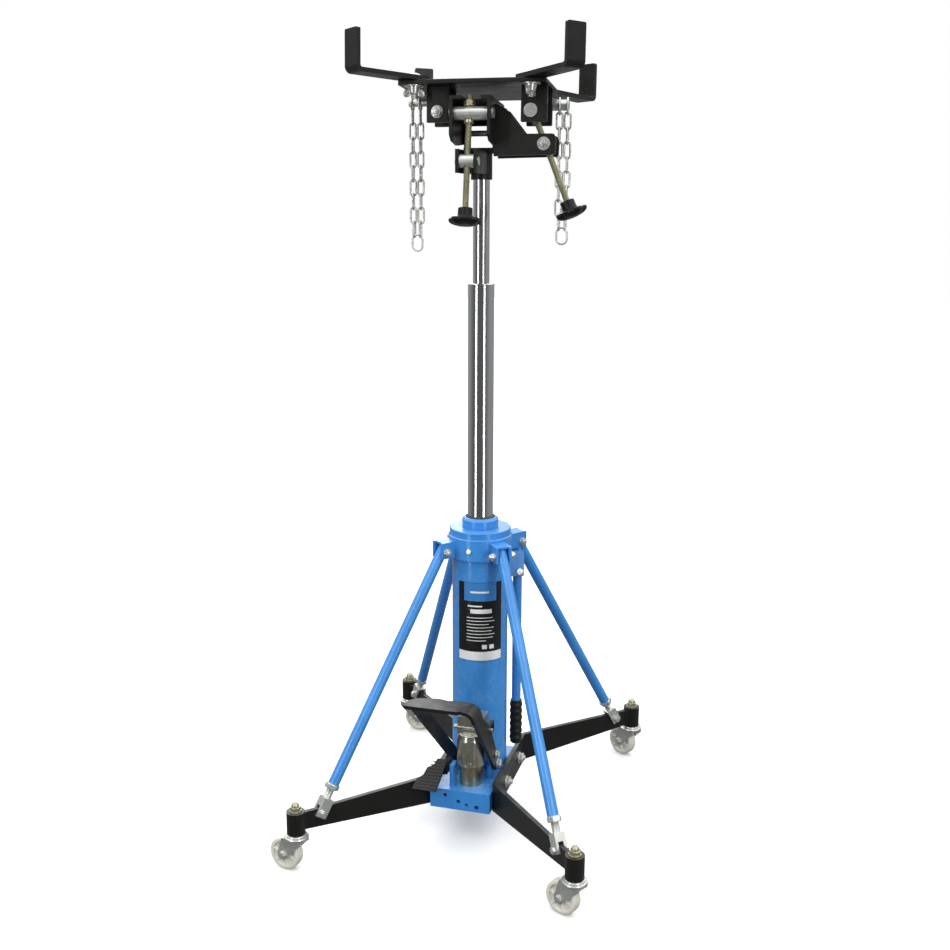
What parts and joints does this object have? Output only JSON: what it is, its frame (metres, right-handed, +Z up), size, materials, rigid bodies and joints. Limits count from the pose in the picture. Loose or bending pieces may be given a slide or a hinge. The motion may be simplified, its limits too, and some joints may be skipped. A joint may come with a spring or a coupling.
{
  "type": "two-stage transmission jack",
  "caption": "Tall foot-pumped two-stage hydraulic lifting column on a splayed caster base, with a tilting saddle, swivelling arms and restraint chains.",
  "frame": {"origin": "floor plane directly under the hydraulic column's axis", "axes": "+Z up along the column, -Y towards the foot pump, +X to the right seen from the pump side"},
  "size_m": [0.6297, 0.7341, 1.5674],
  "materials": {
    "blue_paint": "gloss enamel",
    "black_paint": "satin powder coat",
    "zinc": "bright zinc",
    "gold_zinc": "yellow passivated zinc",
    "ram_chrome": "ground hard chrome",
    "seal_rubber": "matte",
    "label": "satin vinyl",
    "barrel_brass": "turned",
    "knob_plastic": "moulded",
    "grip_rubber": "ribbed",
    "nylon": "moulded"
  },
  "bodies": {
    "chassis": {"base_block": "blue_paint", "leg_bar_left": "black_paint", "leg_bar_right": "black_paint", "caster_sockets": "black_paint", "socket_cap_nuts": "gold_zinc", "leg_bolts": "zinc", "outer_cylinder": "blue_paint", "strut_collar": "blue_paint", "collar_bolts": "zinc", "gland_nut": "blue_paint", "wiper_ring": "seal_rubber", "strut_tubes": "blue_paint", "strut_ends": "zinc", "strut_pins": "zinc", "label_panel": "label", "pump_barrel": "barrel_brass", "pump_lugs": "blue_paint", "handle_pin": "zinc"},
    "lower_ram": {"lower_ram": "ram_chrome"},
    "upper_ram": {"upper_ram": "ram_chrome"},
    "head": {"head_socket": "black_paint", "pivot_pin": "zinc"},
    "tilt_frame": {"tilt_frame": "black_paint"},
    "front_trunnion": {"front_trunnion": "zinc"},
    "front_screw": {"front_screw": "gold_zinc", "front_knob": "knob_plastic"},
    "lower_trunnion": {"lower_trunnion": "zinc"},
    "saddle": {"saddle_plate": "black_paint", "chain_pegs": "zinc", "arm_bolts": "zinc", "wing_nuts": "zinc"},
    "roll_trunnion": {"roll_trunnion": "zinc"},
    "roll_screw": {"roll_screw": "gold_zinc", "roll_knob": "knob_plastic"},
    "roll_nut": {"roll_nut": "zinc"},
    "chain_left": {"chain_left": "zinc"},
    "chain_right": {"chain_right": "zinc"},
    "pump_pedal": {"pump_pedal": "black_paint"},
    "pump_plunger": {"pump_plunger": "zinc"},
    "release_pedal": {"release_pedal": "black_paint"},
    "handle": {"handle_bar": "blue_paint", "handle_grip": "grip_rubber"},
    "arm_front_left": {"arm_front_left": "black_paint"},
    "fork_front_left": {"caster_fork_front_left": "zinc"},
    "wheel_front_left": {"caster_wheel_front_left": "nylon"},
    "arm_front_right": {"arm_front_right": "black_paint"},
    "fork_front_right": {"caster_fork_front_right": "zinc"},
    "wheel_front_right": {"caster_wheel_front_right": "nylon"},
    "arm_back_right": {"arm_back_right": "black_paint"},
    "fork_back_right": {"caster_fork_back_right": "zinc"},
    "wheel_back_right": {"caster_wheel_back_right": "nylon"},
    "arm_back_left": {"arm_back_left": "black_paint"},
    "fork_back_left": {"caster_fork_back_left": "zinc"},
    "wheel_back_left": {"caster_wheel_back_left": "nylon"}
  },
  "joints": [
    {"name": "lower_ram_lift", "type": "slide", "parent": "chassis", "child": "lower_ram", "axis": [0, 0, 1], "range_m": [-0.455, 0.004]},
    {"name": "upper_ram_lift", "type": "slide", "parent": "lower_ram", "child": "upper_ram", "axis": [0, 0, 1], "range_m": [-0.17, 0.25]},
    {"name": "head_swivel", "type": "hinge", "parent": "upper_ram", "child": "head", "pos_m": [0, 0, 1.34], "axis": [0, 0, 1], "continuous": true},
    {"name": "frame_pitch", "type": "hinge", "parent": "head", "child": "tilt_frame", "pos_m": [0, 0, 1.398], "axis": [0.9976, 0.0698, 0], "range_deg": [-6, 11]},
    {"name": "upper_pin_turn", "type": "hinge", "parent": "tilt_frame", "child": "front_trunnion", "pos_m": [0.00125, -0.08949, 1.42835], "axis": [0.9976, 0.0698, 0], "range_deg": [-14, 14]},
    {"name": "front_screw_spin", "type": "hinge", "parent": "front_trunnion", "child": "front_screw", "pos_m": [0.00125, -0.08949, 1.42835], "axis": [-0.0127, 0.1819, 0.9832], "continuous": true},
    {"name": "lower_pin_turn", "type": "hinge", "parent": "head", "child": "lower_trunnion", "pos_m": [0.00234, -0.10509, 1.344], "axis": [0.9976, 0.0698, 0], "range_deg": [-4, 4]},
    {"name": "saddle_roll", "type": "hinge", "parent": "tilt_frame", "child": "saddle", "pos_m": [-0.06617, -0.04281, 1.43132], "axis": [-0.0696, 0.9958, -0.0593], "range_deg": [-5, 5]},
    {"name": "roll_pin_turn", "type": "hinge", "parent": "saddle", "child": "roll_trunnion", "pos_m": [0.10733, -0.02968, 1.43126], "axis": [-0.0696, 0.9958, -0.0593], "range_deg": [-12, 12]},
    {"name": "roll_screw_spin", "type": "hinge", "parent": "roll_trunnion", "child": "roll_screw", "pos_m": [0.10733, -0.02968, 1.43126], "axis": [-0.3852, 0.028, 0.9224], "continuous": true},
    {"name": "roll_nut_turn", "type": "hinge", "parent": "tilt_frame", "child": "roll_nut", "pos_m": [0.13151, -0.03143, 1.37336], "axis": [-0.0696, 0.9958, -0.0593], "range_deg": [-8, 8]},
    {"name": "arm_front_left_turn", "type": "hinge", "parent": "saddle", "child": "arm_front_left", "pos_m": [-0.10154, -0.09623, 1.48643], "axis": [-0.0041, 0.0592, 0.9982], "range_deg": [-40, 40]},
    {"name": "arm_front_right_turn", "type": "hinge", "parent": "saddle", "child": "arm_front_right", "pos_m": [0.11394, -0.08116, 1.48643], "axis": [-0.0041, 0.0592, 0.9982], "range_deg": [-40, 40]},
    {"name": "arm_back_right_turn", "type": "hinge", "parent": "saddle", "child": "arm_back_right", "pos_m": [0.10085, 0.10605, 1.47528], "axis": [-0.0041, 0.0592, 0.9982], "range_deg": [-40, 40]},
    {"name": "arm_back_left_turn", "type": "hinge", "parent": "saddle", "child": "arm_back_left", "pos_m": [-0.11463, 0.09098, 1.47528], "axis": [-0.0041, 0.0592, 0.9982], "range_deg": [-40, 40]},
    {"name": "chain_left_swing", "type": "hinge", "parent": "saddle", "child": "chain_left", "pos_m": [-0.13801, 0.02405, 1.45811], "axis": [0.9976, 0.0698, 0], "range_deg": [-20, 20]},
    {"name": "chain_right_swing", "type": "hinge", "parent": "saddle", "child": "chain_right", "pos_m": [0.14832, 0.04354, 1.44913], "axis": [0.9976, 0.0698, 0], "range_deg": [-9, 20]},
    {"name": "caster_front_left_swivel", "type": "hinge", "parent": "chassis", "child": "fork_front_left", "pos_m": [-0.274, -0.337, 0.06], "axis": [0, 0, 1], "continuous": true},
    {"name": "caster_front_right_swivel", "type": "hinge", "parent": "chassis", "child": "fork_front_right", "pos_m": [0.274, -0.337, 0.06], "axis": [0, 0, 1], "continuous": true},
    {"name": "caster_back_right_swivel", "type": "hinge", "parent": "chassis", "child": "fork_back_right", "pos_m": [0.274, 0.337, 0.06], "axis": [0, 0, 1], "continuous": true},
    {"name": "caster_back_left_swivel", "type": "hinge", "parent": "chassis", "child": "fork_back_left", "pos_m": [-0.274, 0.337, 0.06], "axis": [0, 0, 1], "continuous": true},
    {"name": "wheel_front_left_spin", "type": "hinge", "parent": "fork_front_left", "child": "wheel_front_left", "pos_m": [-0.29756, -0.33242, 0.033], "axis": [-0.1908, -0.9816, 0], "continuous": true},
    {"name": "wheel_front_right_spin", "type": "hinge", "parent": "fork_front_right", "child": "wheel_front_right", "pos_m": [0.25207, -0.32724, 0.033], "axis": [-0.4067, -0.9135, 0], "continuous": true},
    {"name": "wheel_back_right_spin", "type": "hinge", "parent": "fork_back_right", "child": "wheel_back_right", "pos_m": [0.25387, 0.35007, 0.033], "axis": [-0.5446, -0.8387, 0], "continuous": true},
    {"name": "wheel_back_left_spin", "type": "hinge", "parent": "fork_back_left", "child": "wheel_back_left", "pos_m": [-0.25, 0.33742, 0.033], "axis": [-0.0175, 0.9998, 0], "continuous": true},
    {"name": "pedal_press", "type": "hinge", "parent": "chassis", "child": "pump_pedal", "pos_m": [0.01, -0.062, 0.141], "axis": [1, 0, 0], "range_deg": [0, 8], "stiffness_Nm_per_rad": 12, "springref_deg": -28.65},
    {"name": "plunger_stroke", "type": "slide", "parent": "chassis", "child": "pump_plunger", "axis": [0, 0, 1], "range_m": [-0.0085, 0]},
    {"name": "release_press", "type": "hinge", "parent": "chassis", "child": "release_pedal", "pos_m": [-0.031, -0.12, 0.152], "axis": [1, 0, 0], "range_deg": [0, 8], "stiffness_Nm_per_rad": 3, "springref_deg": -17.19},
    {"name": "handle_swing", "type": "hinge", "parent": "chassis", "child": "handle", "pos_m": [0.07, 0.037, 0.532], "axis": [0.4673, -0.8841, 0], "range_deg": [0, 90]}
  ],
  "couplings": [
    {"joint": "upper_pin_turn", "follows": "frame_pitch", "ratio": -0.84205},
    {"joint": "lower_pin_turn", "follows": "frame_pitch", "ratio": 0.15795},
    {"joint": "roll_pin_turn", "follows": "saddle_roll", "ratio": -2.0599},
    {"joint": "roll_nut_turn", "follows": "saddle_roll", "ratio": -1.0599},
    {"joint": "plunger_stroke", "follows": "pedal_press", "m_per_rad": -0.0435}
  ]
}
